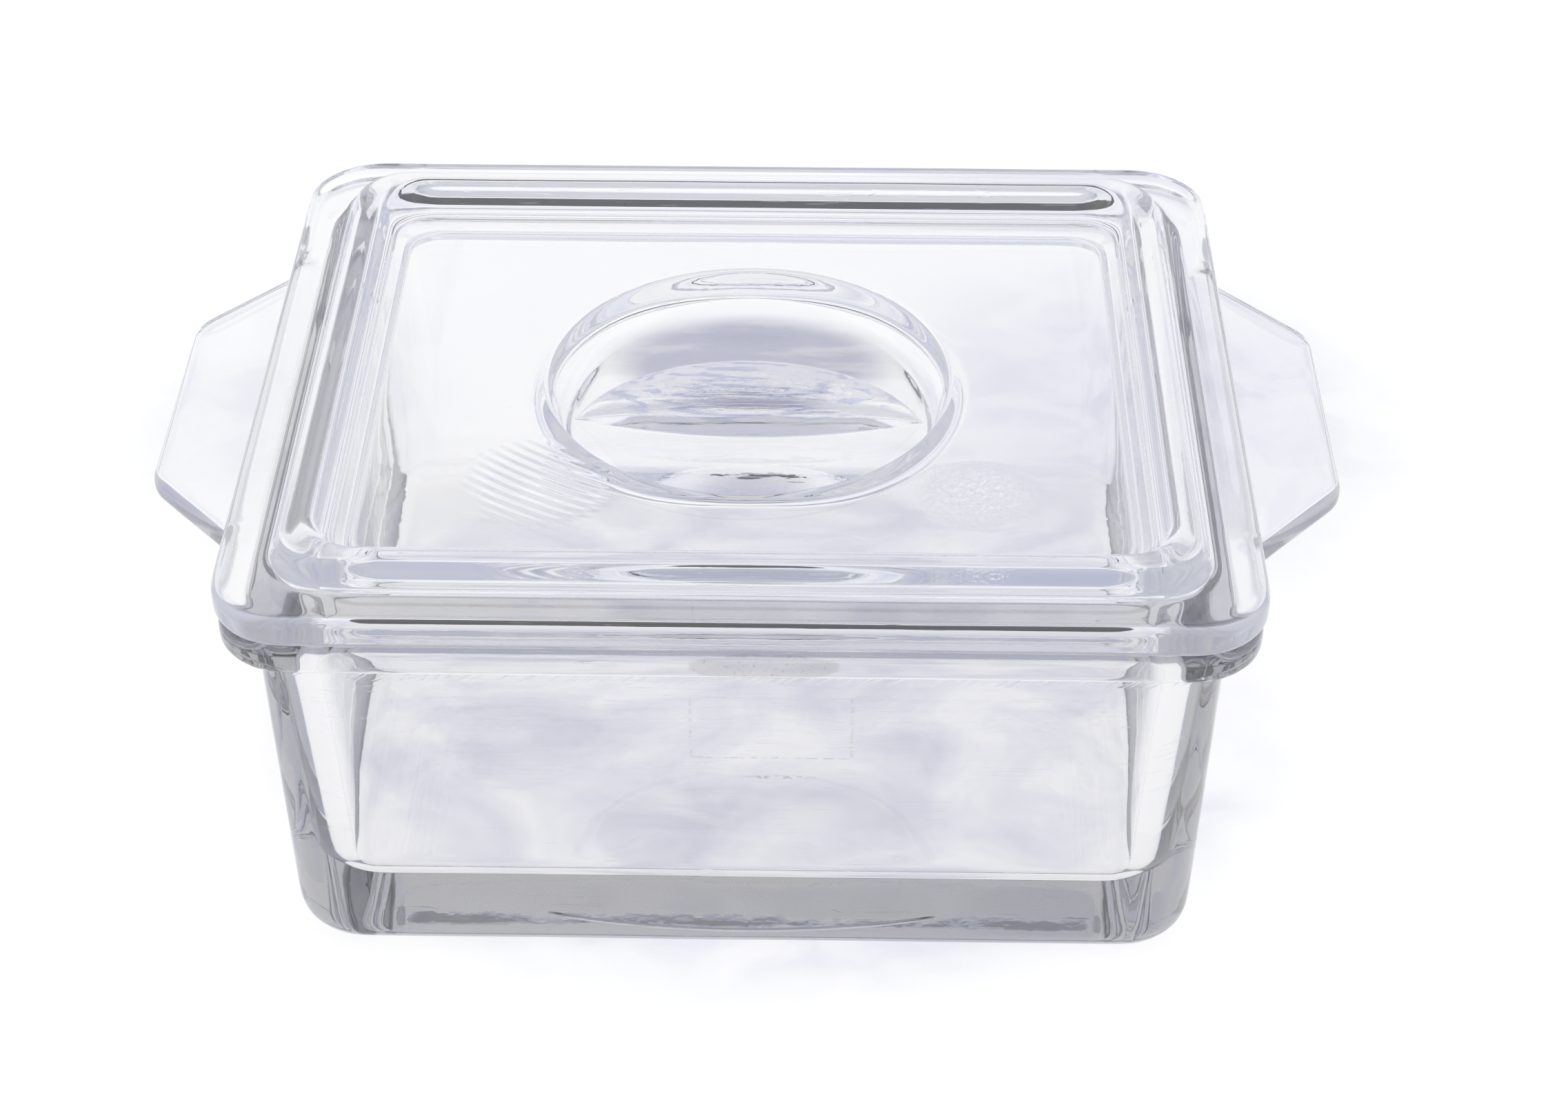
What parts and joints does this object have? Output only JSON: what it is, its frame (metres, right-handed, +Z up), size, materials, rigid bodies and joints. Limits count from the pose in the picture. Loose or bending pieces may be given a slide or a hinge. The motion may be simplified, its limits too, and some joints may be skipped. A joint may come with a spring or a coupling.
{
  "type": "butter dish",
  "caption": "Rectangular clear pressed-glass butter dish with flat tab handles, a thick base and a lift-off lid with a raised stacking ridge and a sunk pinch grip.",
  "frame": {"origin": "centre of the flat face the dish stands on", "axes": "+Z up, +X along the long side towards one tab handle, -Y towards the front long side; the lid sits centred and square"},
  "size_m": [0.197, 0.1396, 0.0805],
  "materials": {
    "dish_glass": "clear thick pressed glass, fire polished, slightly wavy, fine shear marks under the rim",
    "lid_glass": "clear pressed glass, fire polished, faint chill ripples on the panel"
  },
  "bodies": {
    "dish": {"dish": "dish_glass"},
    "lid": {"lid": "lid_glass"}
  },
  "joints": [
    {"name": "lid_lift", "type": "slide", "parent": "dish", "child": "lid", "axis": [0, 0, 1], "range_m": [0, 0.09]}
  ]
}
